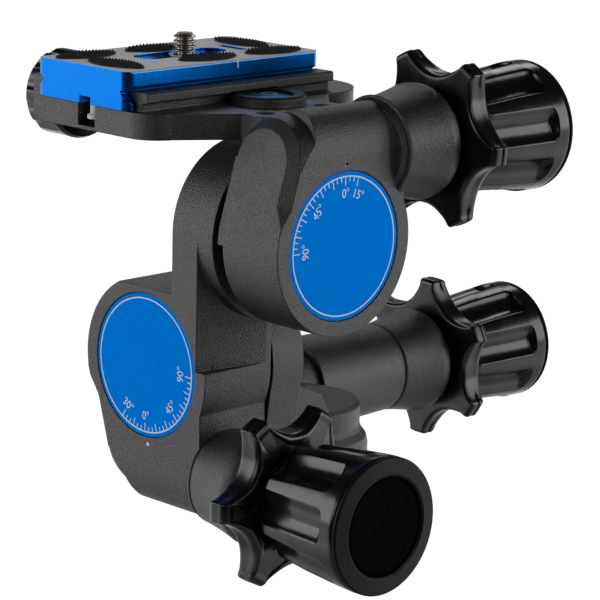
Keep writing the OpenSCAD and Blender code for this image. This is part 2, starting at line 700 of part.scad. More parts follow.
module clamp_base() {
    corner = 9;
    right_r = 17;
    back = plate_y + plate_w / 2 - 0.3;
    color(black_paint) difference() {
        union() {
            translate([0, 0, clamp_z]) linear_extrude(floor_z - clamp_z) {
                difference() {
                    translate([clamp_x0, clamp_front]) square([clamp_x1 - clamp_x0, back - clamp_front]);
                    translate([clamp_x0, clamp_front]) difference() {
                        translate([-1, -1]) square(corner + 1);
                        translate([corner, corner]) circle(r = corner);
                    }
                    translate([clamp_x1 - right_r, clamp_front]) difference() {
                        translate([0, -1]) square([right_r + 1, right_r + 1]);
                        translate([0, right_r]) circle(r = right_r);
                    }
                }
                polygon([
                    [clamp_x0 + 3, clamp_front + 3], [web_x0, web_y + 8], [web_x0, web_y], [web_x1, web_y],
                    [web_x1, web_y + 8], [-2, clamp_front + 2], [-20, clamp_front + 6]
                ]);
            }
            // fixed jaw with its overhanging lip
            translate([jaw_x0, 0, 0]) rotate([90, 0, 90]) linear_extrude(jaw_x1 - jaw_x0)
                polygon([
                    [jaw_front + 2, floor_z - 1], [plate_front - slide_gap, floor_z - 1],
                        [plate_front - slide_gap, plate_z + dove_lo],
                    [plate_front - slide_gap + dove_in, plate_z + dove_hi],
                        [plate_front - slide_gap + dove_in, lip_z],
                    [jaw_front + 0.5, lip_z], [jaw_front, lip_z - 0.5], [jaw_front, lip_z - 2.6],
                        [jaw_front + 2, lip_z - 3]
                ]);
            // boss under the spirit level
            translate([level_x, level_y, clamp_z]) cylinder(r = level_r + 1.1, h = level_z - clamp_z - 0.4);
        }
        // the level's pocket, and room for its bezel under the lip
        translate([level_x, level_y, level_z - 4.4]) cylinder(r = level_r - 1.6, h = 4);
        translate([level_x, level_y, level_z - 0.41]) cylinder(r = level_r + 1.1 + slide_gap, h = 0.55);
        // groove for the moving jaw's tongue
        translate([jaw_x0 - slide_gap, tongue_y - 3 - slide_gap, tongue_z - slide_gap])
            cube([jaw_x1 - jaw_x0 + 2 * slide_gap, far, 20]);
        // clamp screw and guide pins
        translate([screw_axis_x, back + 1, clamp_axis_z]) rotate([90, 0, 0])
            cylinder(r = clamp_screw_r + run_gap, h = back + 2 - screw_in);
        for (x = guide_x) translate([x, back + 1, clamp_axis_z - 0.6]) rotate([90, 0, 0])
            cylinder(r = guide_r, h = guide_in + 2);
        // pocket for the safety pin
        translate([pin_x, pin_y, clamp_z + pin_floor]) cylinder(r = pin_pocket_r, h = 10);
        translate([clamp_x0 - 1, pin_y - pin_pocket_r, clamp_z + pin_floor])
            cube([pin_x - clamp_x0 + 1, 2 * pin_pocket_r, 10]);
        // screws that hold the clamp base to the roll housing
        for (x = base_fix_x) translate([x, web_y + 5, base_fix_z]) cylinder(r = 2.6, h = 10);
    }
}
plate_front = plate_y - plate_w / 2;
tongue_y = plate_y + 6;
tongue_z = floor_z - 3;
guide_x = [-60, -8];
guide_r = 1.5;
base_fix_x = [-40, -19];
base_fix_z = floor_z - 4.4;                  // seat of the screws' heads

module clamp_base_screws() {
    color(steel) for (x = base_fix_x) translate([x, web_y + 5, base_fix_z]) difference() {
        cylinder(r = 2.5, h = 2.4);
        translate([0, 0, 1.2]) cylinder(r = 1.3, h = 2, $fn = 6);
    }
}

module level_ring() {
    color(steel) translate([level_x, level_y, level_z - 0.4]) rotate_extrude()
        polygon([[level_r - 1.6, -1.4], [level_r - 2.4, -1.4], [level_r - 2.4, 0.4],
            [level_r + 0.6, 0.4], [level_r + 1, 0], [level_r - 1.6, 0]]);
}

module level_vial() {
    color([0.25, 0.75, 0.45]) translate([level_x, level_y, level_z - 4.4])
        cylinder(r = level_r - 2.4, h = 3.8);
}

module moving_jaw() {
    inner = plate_y + plate_w / 2 + slide_gap;
    color(black_paint) difference() {
        union() {
            translate([jaw_x0, 0, 0]) rotate([90, 0, 90]) linear_extrude(jaw_x1 - jaw_x0)
                polygon([
                    [inner, clamp_z + 0.6], [jaw_back, clamp_z + 0.6], [jaw_back, lip_z - 0.5],
                        [jaw_back - 0.5, lip_z],
                    [inner - dove_in, lip_z], [inner - dove_in, plate_z + dove_hi],
                        [inner, plate_z + dove_lo],
                    [inner, floor_z - 0.15], [tongue_y, floor_z - 0.15], [tongue_y, tongue_z],
                        [inner, tongue_z]
                ]);
        }
        translate([screw_axis_x, jaw_back + 1, clamp_axis_z]) rotate([90, 0, 0])
            cylinder(r = clamp_screw_r + 0.3, h = jaw_back + 2 - tongue_y);
        for (x = guide_x) translate([x, jaw_back + 1, clamp_axis_z - 0.6]) rotate([90, 0, 0])
            cylinder(r = guide_r + run_gap, h = jaw_back + 2 - tongue_y);
    }
}

module jaw_guide_pins() {
    back = plate_y + plate_w / 2 - 0.3;
    color(steel) for (x = guide_x) translate([x, jaw_back - 0.6, clamp_axis_z - 0.6]) rotate([90, 0, 0])
        cylinder(r = guide_r, h = jaw_back - 0.6 - back + guide_in);
}

module clamp_screw() {
    color(steel) translate([screw_axis_x, jaw_back + 6, clamp_axis_z]) rotate([90, 0, 0])
        cylinder(r = clamp_screw_r, h = jaw_back + 6 - screw_in);
}

module clamp_knob() {
    color(black_paint) translate([screw_axis_x, jaw_back + 0.3, clamp_axis_z])
        rotate([-90, 0, 0]) difference() {
        rotate_extrude() polygon([[clamp_screw_r, 0], [clamp_knob_r - 3.4, 0],
            [clamp_knob_r - 0.6, 1.6], [clamp_knob_r, 3],
            [clamp_knob_r, clamp_knob_l - 1.6], [clamp_knob_r - 1, clamp_knob_l - 0.4],
                [clamp_knob_r - 2.4, clamp_knob_l],
            [clamp_knob_r - 3.2, clamp_knob_l], [clamp_knob_r - 3.2, clamp_knob_l - 1.5],
                [clamp_screw_r, clamp_knob_l - 1.5]]);
        for (i = [0 : 11]) rotate(i * 30 + 15) translate([clamp_knob_r + 1.6, 0, 4])
            cylinder(r = 2.4, h = 20);
    }
}

module clamp_knob_cap() {
    color(satin_black) translate([screw_axis_x, jaw_back + 0.3, clamp_axis_z]) rotate([-90, 0, 0])
        translate([0, 0, clamp_knob_l - 1.5]) cylinder(r = clamp_knob_r - 3.2, h = 1.1);
}

module safety_pin() {
    foot = clamp_z + pin_floor + pin_travel;
    tip = plate_z + pin_up;
    color(steel) translate([pin_x, pin_y, 0]) rotate_extrude()
        polygon([[0, foot], [pin_r + 0.8, foot], [pin_r + 0.8, foot + 1], [pin_r, foot + 1.4],
            [pin_r, tip - 0.4], [pin_r - 0.4, tip], [0, tip]]);
}

// ---------- plate ----------

// pads: centre on the plate, turn, length and width
pad_list = [
    [-27.5, -5.2, 90, 22.5, 10], [-23.5, 11.8, 0, 21, 11], [0, 10.9, 0, 21, 11],
    [0, -10.9, 0, 21, 11], [27.5, 5.2, 90, 22.5, 10], [23.5, -11.8, 0, 21, 11]
];
pad_sink = 1;                                // how deep the pads sit in the plate
pad_up = 0.3;                                // how far they stand up from it
slot_run = 10.6;                             // half the distance between the slot's end centres

module pad_shape(l, w) {
    r = (l * l / 4 + w * w / 4) / w;
    intersection() {
        translate([0, r - w / 2]) circle(r = r);
        translate([0, w / 2 - r]) circle(r = r);
        square([l - 1, w], center = true);
    }
}

module quick_plate() {
    h = plate_w / 2;
    color(plate_blue) translate([-roll_axis_x, plate_y, plate_z]) difference() {
        intersection() {
            translate([-plate_l / 2, 0, 0]) rotate([90, 0, 90]) linear_extrude(plate_l)
                polygon([
                    [-h, 0], [-h, dove_lo], [-h + dove_in, dove_hi], [-h + dove_in, dove_hi + 0.8],
                        [-h, flange_z], [-h, plate_h - 0.4], [-h + 0.4, plate_h],
                    [h - 0.4, plate_h], [h, plate_h - 0.4], [h, flange_z], [h - dove_in, dove_hi + 0.8],
                        [h - dove_in, dove_hi], [h, dove_lo], [h, 0]
                ]);
            linear_extrude(plate_h) union() {
                square([plate_l - 5, plate_w], center = true);
                square([plate_l, plate_w - 5], center = true);
                for (x = [-1, 1], y = [-1, 1])
                    translate([x * (plate_l / 2 - 2.5), y * (plate_w / 2 - 2.5)]) circle(r = 2.5);
            }
        }
        // slot for the camera screw, and its wider channel underneath
        long_slot(screw_r + 0.25, -1, plate_h + 1);
        long_slot(screw_head_r + 0.3, -1, 2.9);
        long_slot(clip_r + 0.3, plate_h - clip_drop - 0.1, plate_h + 1);
        // short cross slot near the right-hand end
        translate([19.5, 0, -1]) {
            translate([-1.4, -4, 0]) cube([2.8, 8, 12]);
            for (y = [-4, 4]) translate([0, y, 0]) cylinder(r = 1.4, h = 12);
        }
        // seats of the rubber pads
        for (p = pad_list) translate([p[0], p[1], plate_h - pad_sink]) rotate(p[2])
            linear_extrude(2 * pad_sink) pad_shape(p[3] + 0.02, p[4] + 0.02);
        // notch that the safety pin stands in
        translate([pin_x + roll_axis_x - 8, pin_y - plate_y - notch_w / 2, -1])
            cube([8 + pin_r + 0.6, notch_w, 1 + notch_h]);
    }
}
screw_head_r = 6;
clip_r = 4.4;
clip_drop = 0.9;                             // underside of the clip, below the top of the plate

// slot along x with round ends
module long_slot(r, z0, z1) {
    translate([-slot_run, -r, z0]) cube([2 * slot_run, 2 * r, z1 - z0]);
    for (x = [-1, 1]) translate([x * slot_run, 0, z0]) cylinder(r = r, h = z1 - z0);
}

module plate_pads() {
    color(gloss_black) translate([-roll_axis_x, plate_y, top_z - pad_sink]) for (p = pad_list)
        translate([p[0], p[1], 0]) rotate(p[2]) linear_extrude(pad_sink + pad_up) pad_shape(p[3], p[4]);
}

screw_x = -roll_axis_x + 1.5;

module camera_screw() {
    pitch = 1.27;
    turns = floor((plate_h - 3 + screw_up) / pitch) - 1;
    z1 = plate_h + screw_up;
    color(steel) translate([screw_x, plate_y, plate_z]) difference() {
        rotate_extrude() polygon(concat(
            [[0, 0.5], [screw_head_r - 0.4, 0.5], [screw_head_r, 0.9], [screw_head_r, 2.5],
                [screw_r, 2.5], [screw_r, z1 - turns * pitch - 0.6]],
            [for (i = [0 : turns - 1]) for (p = [[screw_r - 0.75, 0.1], [screw_r - 0.75, 0.3],
                [screw_r, 0.6], [screw_r, 0.75]])
                [p[0], z1 - 0.6 + (i - turns + p[1]) * pitch]],
            [[screw_r - 0.75, z1 - 0.5], [screw_r - 1, z1], [0, z1]]
        ));
        translate([-screw_head_r - 1, -0.8, 0]) cube([2 * screw_head_r + 2, 1.6, 1.4]);
    }
}

module screw_clip() {
    color(steel) translate([screw_x, plate_y, plate_z + plate_h - clip_drop]) difference() {
        cylinder(r = clip_r, h = 0.6);
        translate([0, 0, -1]) cylinder(r = screw_r + 0.01, h = 3);
    }
}

// ---------- knob units ----------

module pan_knob() {
    color(gloss_black) pan_knob_frame() translate([0, 0, pan_neck_end + grip_start]) grip(pan_flute_turn);
}
module pan_knob_ring() {
    color(satin_black) pan_knob_frame() translate([0, 0, pan_neck_end + grip_start]) end_ring();
}
module pan_knob_cap() {
    color(gloss_black) pan_knob_frame() translate([0, 0, pan_neck_end + grip_start]) end_cap();
}
module pan_worm() {
    color(steel) pan_knob_frame() worm(pan_neck_end + knob_end - cap_seat);
}
module pan_release() {
    color(satin_black) pan_knob_frame() translate([0, 0, pan_neck_end + ring_gap])
        rotate(pan_ring_turn) release_ring();
}
module pan_spring() {
    color(steel) pan_knob_frame() translate([0, 0, pan_neck_end + ring_gap])
        rotate(pan_ring_turn) release_spring();
}
module tilt_knob() {
    color(gloss_black) tilt_knob_frame() translate([0, 0, tilt_neck_end + grip_start])
        grip(tilt_flute_turn);
}
module tilt_knob_ring() {
    color(satin_black) tilt_knob_frame() translate([0, 0, tilt_neck_end + grip_start]) end_ring();
}
module tilt_knob_cap() {
    color(gloss_black) tilt_knob_frame() translate([0, 0, tilt_neck_end + grip_start]) end_cap();
}
module tilt_worm() {
    color(steel) tilt_knob_frame() worm(tilt_neck_end + knob_end - cap_seat);
}
module tilt_release() {
    color(satin_black) tilt_knob_frame() translate([0, 0, tilt_neck_end + ring_gap])
        rotate(tilt_ring_turn) release_ring();
}
module tilt_spring() {
    color(steel) tilt_knob_frame() translate([0, 0, tilt_neck_end + ring_gap])
        rotate(tilt_ring_turn) release_spring();
}
module roll_knob() {
    color(gloss_black) roll_knob_frame() translate([0, 0, roll_neck_end + grip_start])
        grip(roll_flute_turn);
}
module roll_knob_ring() {
    color(satin_black) roll_knob_frame() translate([0, 0, roll_neck_end + grip_start]) end_ring();
}
module roll_knob_cap() {
    color(gloss_black) roll_knob_frame() translate([0, 0, roll_neck_end + grip_start]) end_cap();
}
module roll_worm() {
    color(steel) roll_knob_frame() worm(roll_neck_end + knob_end - cap_seat);
}
module roll_release() {
    color(satin_black) roll_knob_frame() translate([0, 0, roll_neck_end + ring_gap])
        rotate(roll_ring_turn) release_ring();
}
module roll_spring() {
    color(steel) roll_knob_frame() translate([0, 0, roll_neck_end + ring_gap])
        rotate(roll_ring_turn) release_spring();
}

// ---------- draw ----------

base_plate();
thread_insert();
base_screws();
pan_spindle();
pan_wheel();
spindle_nut();
pan_housing();
thrust_ring();
pan_neck();
pan_bushes();
tilt_shaft();
tilt_wheel();
tilt_dial();
tilt_housing();
tilt_neck();
tilt_bushes();
roll_shaft();
roll_wheel();
roll_dial();
roll_housing();
roll_neck();
roll_bushes();
clamp_base();
clamp_base_screws();
level_ring();
level_vial();
moving_jaw();
jaw_guide_pins();
clamp_screw();
clamp_knob();
clamp_knob_cap();
safety_pin();
quick_plate();
plate_pads();
camera_screw();
screw_clip();
pan_knob();
pan_knob_ring();
pan_knob_cap();
pan_worm();
pan_release();
pan_spring();
tilt_knob();
tilt_knob_ring();
tilt_knob_cap();
tilt_worm();
tilt_release();
tilt_spring();
roll_knob();
roll_knob_ring();
roll_knob_cap();
roll_worm();
roll_release();
roll_spring();
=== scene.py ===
import json
import math
import bmesh
import bpy
from mathutils import Matrix, Vector

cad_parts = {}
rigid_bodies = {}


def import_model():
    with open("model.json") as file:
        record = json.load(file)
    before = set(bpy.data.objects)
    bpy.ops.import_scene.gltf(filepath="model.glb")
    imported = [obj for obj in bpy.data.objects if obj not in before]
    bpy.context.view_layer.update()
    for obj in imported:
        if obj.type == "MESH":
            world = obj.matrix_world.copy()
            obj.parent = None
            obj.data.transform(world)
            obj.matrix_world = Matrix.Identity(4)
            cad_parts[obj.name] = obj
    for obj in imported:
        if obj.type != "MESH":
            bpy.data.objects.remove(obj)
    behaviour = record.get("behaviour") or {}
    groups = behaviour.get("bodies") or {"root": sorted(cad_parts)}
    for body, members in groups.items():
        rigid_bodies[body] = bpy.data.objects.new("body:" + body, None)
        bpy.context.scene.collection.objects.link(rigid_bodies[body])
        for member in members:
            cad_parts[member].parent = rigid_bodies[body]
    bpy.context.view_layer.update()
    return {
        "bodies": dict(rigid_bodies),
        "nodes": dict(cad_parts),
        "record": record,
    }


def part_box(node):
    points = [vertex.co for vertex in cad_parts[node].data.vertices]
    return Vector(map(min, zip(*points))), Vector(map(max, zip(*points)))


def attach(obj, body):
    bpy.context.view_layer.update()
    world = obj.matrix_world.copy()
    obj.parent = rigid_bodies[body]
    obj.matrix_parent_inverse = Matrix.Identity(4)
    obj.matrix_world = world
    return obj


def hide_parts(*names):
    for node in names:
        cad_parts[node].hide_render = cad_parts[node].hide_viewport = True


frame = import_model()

NODES = frame["nodes"]
MM = 0.001


# ---------------------------------------------------------------- camera and light (metres)

EYE = Vector((-0.5490, -0.5605, 0.2371))
LOOK_AT = Vector((0.00074, 0, 0.05714))
CAMERA_ROLL = math.radians(1.21)
FOCAL_PX, FRAME_PX, SENSOR = 2858.5, 600, 36    # focal length and frame width in pixels, sensor in mm
BEHIND = (0.70, 0.714, 0)                       # level direction from the camera to the object
SKY_WHITE, SKY_DARK = 0.95, 0.03
FLOOR_HALF, FLOOR_Z = 14, -0.6


def camera():
    forward = (LOOK_AT - EYE).normalized()
    right = forward.cross(Vector((0, 0, 1))).normalized()
    up = right.cross(forward)
    right, up = (right * math.cos(CAMERA_ROLL) + up * math.sin(CAMERA_ROLL),
                 up * math.cos(CAMERA_ROLL) - right * math.sin(CAMERA_ROLL))
    data = bpy.data.cameras.new("camera")
    data.sensor_width = SENSOR
    data.sensor_fit = "HORIZONTAL"
    data.lens = SENSOR * FOCAL_PX / FRAME_PX
    data.clip_start, data.clip_end = 0.05, 20
    cam = bpy.data.objects.new("camera", data)
    bpy.context.scene.collection.objects.link(cam)
    cam.matrix_world = Matrix((
        (right.x, up.x, -forward.x, EYE.x),
        (right.y, up.y, -forward.y, EYE.y),
        (right.z, up.z, -forward.z, EYE.z),
        (0, 0, 0, 1)))
    bpy.context.scene.camera = cam


def area_light(name, location, target, size, power):
    data = bpy.data.lights.new(name, "AREA")
    data.shape = "RECTANGLE"
    data.size, data.size_y = size
    data.energy = power
    light = bpy.data.objects.new(name, data)
    light.location = location
    light.rotation_mode = "QUATERNION"
    light.rotation_quaternion = (Vector(target) - Vector(location)).to_track_quat("-Z", "Y")
    bpy.context.scene.collection.objects.link(light)


def math_node(nt, operation, *values):
    """The result of a maths node; each value is a number or an output socket."""
    node = nt.nodes.new("ShaderNodeMath")
    node.operation = operation
    for socket, value in zip(node.inputs, values):
        if isinstance(value, (int, float)):
            socket.default_value = value
        else:
            nt.links.new(value, socket)
    return node.outputs[0]


def ramp_between(nt, value, low, high, top=1.0):
    """0 below low, rising to top at high."""
    node = nt.nodes.new("ShaderNodeMapRange")
    node.interpolation_type = "SMOOTHSTEP"
    nt.links.new(value, node.inputs["Value"])
    node.inputs["From Min"].default_value = low
    node.inputs["From Max"].default_value = high
    node.inputs["To Max"].default_value = top
    return node.outputs["Result"]


def seen_white(nt, strength):
    """The given strength, raised to white for what the camera sees directly."""
    path = nt.nodes.new("ShaderNodeLightPath")
    return math_node(nt, "MAXIMUM", strength, path.outputs["Is Camera Ray"])


def away(nt, vector):
    """How far a point or direction lies behind the object, and its height."""
    split = nt.nodes.new("ShaderNodeSeparateXYZ")
    nt.links.new(vector, split.inputs[0])
    dot = nt.nodes.new("ShaderNodeVectorMath")
    dot.operation = "DOT_PRODUCT"
    dot.inputs[1].default_value = BEHIND
    nt.links.new(vector, dot.inputs[0])
    return dot.outputs["Value"], split.outputs["Z"]


def world():
    """White low down behind the object, dark above it and behind the camera."""
    scene = bpy.context.scene
    scene.view_settings.view_transform = "Standard"
    scene.world = bpy.data.worlds.new("studio")
    scene.world.use_nodes = True
    nt = scene.world.node_tree
    nt.nodes.clear()
    out = nt.nodes.new("ShaderNodeOutputWorld")
    sky = nt.nodes.new("ShaderNodeBackground")
    coord = nt.nodes.new("ShaderNodeTexCoord")
    back, height = away(nt, coord.outputs["Generated"])
    wide = ramp_between(nt, back, -0.5, 0.1, SKY_WHITE)
    low = math_node(nt, "SUBTRACT", 1.0, ramp_between(nt, height, 0.0, 0.2))
    strength = math_node(nt, "MULTIPLY_ADD", wide, low, SKY_DARK)
    nt.links.new(seen_white(nt, strength), sky.inputs["Strength"])
    nt.links.new(sky.outputs[0], out.inputs["Surface"])


def floor():
    """A plain pale floor, lit from within further out so that it stays white into the distance."""
    mesh = bpy.data.meshes.new("floor")
    s, z = FLOOR_HALF, FLOOR_Z
    mesh.from_pydata([(-s, -s, z), (s, -s, z), (s, s, z), (-s, s, z)], [], [(0, 1, 2, 3)])
    obj = bpy.data.objects.new("floor", mesh)
    bpy.context.scene.collection.objects.link(obj)
    mat = bpy.data.materials.new("floor")
    mat.use_nodes = True
    nt = mat.node_tree
    shader = nt.nodes["Principled BSDF"]
    shader.inputs["Base Color"].default_value = (0.6, 0.6, 0.6, 1)
    shader.inputs["Roughness"].default_value = 0.9
    shader.inputs["Specular IOR Level"].default_value = 0.0
    shader.inputs["Emission Color"].default_value = (1, 1, 1, 1)
    coord = nt.nodes.new("ShaderNodeTexCoord")
    back, _ = away(nt, coord.outputs["Object"])
    reach = nt.nodes.new("ShaderNodeVectorMath")
    reach.operation = "LENGTH"
    nt.links.new(coord.outputs["Object"], reach.inputs[0])
    glow = math_node(nt, "MULTIPLY", ramp_between(nt, back, -1.6, -0.2, 1.05),
                     ramp_between(nt, reach.outputs["Value"], 0.7, 1.6))
    nt.links.new(seen_white(nt, glow), shader.inputs["Emission Strength"])
    mesh.materials.append(mat)


# ---------------------------------------------------------------- materials (metres)

class Nodes:
    """A material with a principled shader, and short ways to add nodes to it."""

    def __init__(self, name, color, rough, metal=0.0, spec=0.5):
        self.mat = bpy.data.materials.new(name)
        self.mat.use_nodes = True
        self.mat.diffuse_color = (*color, 1)
        self.nt = self.mat.node_tree
        self.shader = self.nt.nodes["Principled BSDF"]
        self.shader.inputs["Base Color"].default_value = (*color, 1)
        self.shader.inputs["Roughness"].default_value = rough
        self.shader.inputs["Metallic"].default_value = metal
        self.shader.inputs["Specular IOR Level"].default_value = spec
        self.coord = self.nt.nodes.new("ShaderNodeTexCoord")

    def add(self, kind, values=(), **links):
        """A node with (input, number) pairs for values and sockets for links."""
        node = self.nt.nodes.new(kind)
        for key, value in values:
            node.inputs[key].default_value = value
        for key, value in links.items():
            self.nt.links.new(value, node.inputs[key])
        return node

    def noise(self, scale, detail=2.0, rough=0.5, stretch=None):
        vector = self.coord.outputs["Object"]
        if stretch:
            vector = self.add("ShaderNodeMapping", [("Scale", stretch)], Vector=vector).outputs[0]
        values = [("Scale", scale), ("Detail", detail), ("Roughness", rough)]
        return self.add("ShaderNodeTexNoise", values, Vector=vector).outputs["Fac"]

    def split(self, vector):
        return self.add("ShaderNodeSeparateXYZ", Vector=vector).outputs

    def ramp(self, fac, *stops):
        node = self.add("ShaderNodeValToRGB", Fac=fac)
        for element, (pos, value) in zip(node.color_ramp.elements, stops):
            element.position = pos
            element.color = (*value, 1) if isinstance(value, tuple) else (value, value, value, 1)
        return node.outputs["Color"]

    def bump(self, height, strength, distance, edge=None):
        """Fine relief; edge is the radius over which sharp edges look rounded."""
        node = self.add("ShaderNodeBump", [("Strength", strength), ("Distance", distance)], Height=height)
        if edge:
            soft = self.add("ShaderNodeBevel", [("Radius", edge)])
            soft.samples = 8
            self.nt.links.new(soft.outputs[0], node.inputs["Normal"])
        self.nt.links.new(node.outputs[0], self.shader.inputs["Normal"])

    def calc(self, operation, *values):
        return math_node(self.nt, operation, *values)

    def mix(self, fac, a, b):
        node = self.nt.nodes.new("ShaderNodeMix")
        node.data_type = "RGBA"
        self.nt.links.new(fac, node.inputs["Factor"])
        self.nt.links.new(a, node.inputs[6])
        self.nt.links.new(b, node.inputs[7])
        return node.outputs[2]

    def color(self, value):
        self.nt.links.new(value, self.shader.inputs["Base Color"])

    def rough(self, value):
        self.nt.links.new(value, self.shader.inputs["Roughness"])


def powder_paint(name="powder_paint", grit=1.0):
    m = Nodes(name, (0.015, 0.015, 0.016), 0.42, spec=0.75)
    grain = m.noise(2300, 2.5, 0.6)
    m.color(m.ramp(grain, (0.4, 0.001), (0.62, 0.036)))
    m.rough(m.ramp(m.noise(900, 3), (0.3, 0.33), (0.7, 0.43)))
    m.bump(grain, grit, 0.00024, edge=0.0006)
    return m.mat


def satin_black(name="satin_black", light=1.0, rough=0.34, spec=0.5):
    m = Nodes(name, (0.02, 0.02, 0.021), rough, spec=spec)
    m.color(m.ramp(m.noise(700, 4), (0.3, 0.006 * light), (0.7, 0.011 * light)))
    m.rough(m.ramp(m.noise(250, 4), (0.3, rough * 0.9), (0.7, rough * 1.15)))
    m.bump(m.noise(2600, 2), 0.2, 0.00005)
    return m.mat


def gloss_black():
    m = Nodes("gloss_black", (0.006, 0.006, 0.007), 0.2)
    m.color(m.ramp(m.noise(160, 4), (0.3, 0.003), (0.7, 0.006)))
    m.rough(m.ramp(m.noise(300, 4), (0.3, 0.17), (0.7, 0.23)))
    m.bump(m.noise(1500, 2), 0.05, 0.00003)
    return m.mat


def cap_black():
    m = Nodes("cap_black", (0.002, 0.002, 0.0025), 0.6, spec=0.01)
    weave = m.noise(420, 3, 0.6, stretch=(5, 1, 1))
    m.color(m.ramp(weave, (0.35, 0.0008), (0.65, 0.004)))
    m.rough(m.ramp(m.noise(700, 2), (0.3, 0.5), (0.7, 0.65)))
    m.bump(weave, 0.5, 0.0001)
    return m.mat


def metal(name, color, rough):
    m = Nodes(name, color, rough, metal=1.0)
    dark = tuple(c * 0.8 for c in color)
    m.color(m.ramp(m.noise(900, 4), (0.3, dark), (0.7, color)))
    m.rough(m.ramp(m.noise(1200, 4), (0.3, rough * 0.8), (0.7, rough * 1.3)))
    m.bump(m.noise(4000, 2), 0.1, 0.00003, edge=0.0002)
    return m.mat


def rubber():
    m = Nodes("rubber", (0.012, 0.012, 0.012), 0.75)
    m.color(m.ramp(m.noise(900, 3), (0.3, 0.008), (0.7, 0.02)))
    m.bump(m.noise(2500, 2), 0.4, 0.0001)
    return m.mat


def printed(name, color, rough=0.45, spec=0.1):
    m = Nodes(name, color, rough, spec=spec)
    dark = tuple(c * 0.93 for c in color)
    m.color(m.ramp(m.noise(500, 3), (0.3, dark), (0.7, color)))
    m.rough(m.ramp(m.noise(900, 3), (0.3, rough * 0.9), (0.7, rough * 1.1)))
    return m.mat


def vial_green():
    m = Nodes("vial_green", (0.02, 0.2, 0.1), 0.12, spec=0.12)
    m.color(m.ramp(m.noise(60, 2), (0.3, (0.01, 0.09, 0.05)), (0.7, (0.03, 0.2, 0.1))))
    m.rough(m.ramp(m.noise(200, 2), (0.3, 0.1), (0.7, 0.15)))
    return m.mat


def anodised_plate():
    """Blue sides, a top face painted light silver and made less metallic as a painted reflection of the
    bright backdrop behind, and one white index line across the front flange.
    """
    skin, line_half, line_drop, line_right = 0.0004, 0.00028, 0.0021, 0.0042
    lo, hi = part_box("quick_plate")
    m = Nodes("anodised_plate", (0.0, 0.12, 0.55), 0.3, metal=1.0)
    grain = m.noise(700, 3, stretch=(1, 6, 6))
    sides = m.ramp(grain, (0.3, (0.0, 0.16, 0.62)), (0.7, (0.0, 0.2, 0.78)))
    # painted reflection: light silver colour on the top face stands in for the bright backdrop mirrored in
    # it
    top = m.ramp(m.noise(900, 3), (0.3, (0.66, 0.69, 0.74)), (0.7, (0.76, 0.78, 0.82)))
    at = m.split(m.coord.outputs["Object"])
    facing = m.split(m.coord.outputs["Normal"])
    above = m.calc("GREATER_THAN", at["Z"], hi.z - skin)
    # mask of the top face that carries the painted reflection
    top_reflection_mask = m.calc("MULTIPLY", above, m.calc("GREATER_THAN", facing["Z"], 0.7))
    off = m.calc("ABSOLUTE", m.calc("SUBTRACT", at["X"], (lo.x + hi.x) / 2 + line_right))
    line = m.calc("MULTIPLY", m.calc("LESS_THAN", off, line_half), m.calc("LESS_THAN", facing["Y"], -0.6))
    line = m.calc("MULTIPLY", line, m.calc("GREATER_THAN", at["Z"], hi.z - line_drop))
    sides_and_reflection = m.mix(top_reflection_mask, sides, top)
    m.color(m.mix(line, sides_and_reflection, m.ramp(grain, (0.3, 0.75), (0.7, 0.85))))
    # the white index print and the painted reflection on the top both lose most of their metallic
    print_and_reflection = m.calc("MAXIMUM", top_reflection_mask, line)
    metallic = m.calc("SUBTRACT", 1.0, m.calc("MULTIPLY", print_and_reflection, 0.6))
    m.nt.links.new(metallic, m.shader.inputs["Metallic"])
    m.rough(m.calc("ADD", m.calc("MULTIPLY", top_reflection_mask, 0.15), m.ramp(grain, (0.3, 0.2), (0.7, 0.27))))
    m.bump(grain, 0.08, 0.00003, edge=0.0003)
    return m.mat


# ---------------------------------------------------------------- mesh helpers (millimetres in, metres out)

def frame_matrix(origin, x, y, z):
    return Matrix((
        (x[0], y[0], z[0], origin[0]),
        (x[1], y[1], z[1], origin[1]),
        (x[2], y[2], z[2], origin[2]),
        (0, 0, 0, 1)))


# knob frames: z along the knob's axis, from the hinge axis outwards; dial frames: z out of the face
PAN_KNOB = frame_matrix((0, 23.6, 24.0), (0, 0, -1), (0, 1, 0), (1, 0, 0))
TILT_KNOB = frame_matrix((-47.8, 0, 19.8), (1, 0, 0), (0, 0, 1), (0, -1, 0))
ROLL_KNOB = frame_matrix((-33, -41.2, 108.1), (0, 0, -1), (0, 1, 0), (1, 0, 0))
TILT_DIAL = frame_matrix((-57, 0, 47.5), (0, -1, 0), (0, 0, 1), (-1, 0, 0))
ROLL_DIAL = frame_matrix((-33, -50.4, 85.3), (1, 0, 0), (0, 0, 1), (0, -1, 0))


def body_name(node):
    return next(name for name, empty in frame["bodies"].items() if empty == NODES[node].parent)


def piece(name, verts, faces, matrix, material, node, replaces=True, smooth=True):
    """A mesh from points in a local frame in millimetres, riding with the body of a CAD node."""
    mesh = bpy.data.meshes.new(name)
    mesh.from_pydata([(matrix @ Vector(v)) * MM for v in verts], [], faces)
    bm = bmesh.new()
    bm.from_mesh(mesh)
    bmesh.ops.recalc_face_normals(bm, faces=bm.faces)
    bm.to_mesh(mesh)
    bm.free()
    mesh.polygons.foreach_set("use_smooth", [smooth] * len(mesh.polygons))
    mesh.materials.append(material)
    obj = bpy.data.objects.new(name, mesh)
    bpy.context.scene.collection.objects.link(obj)
    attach(obj, body_name(node))
    if replaces:
        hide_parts(node)


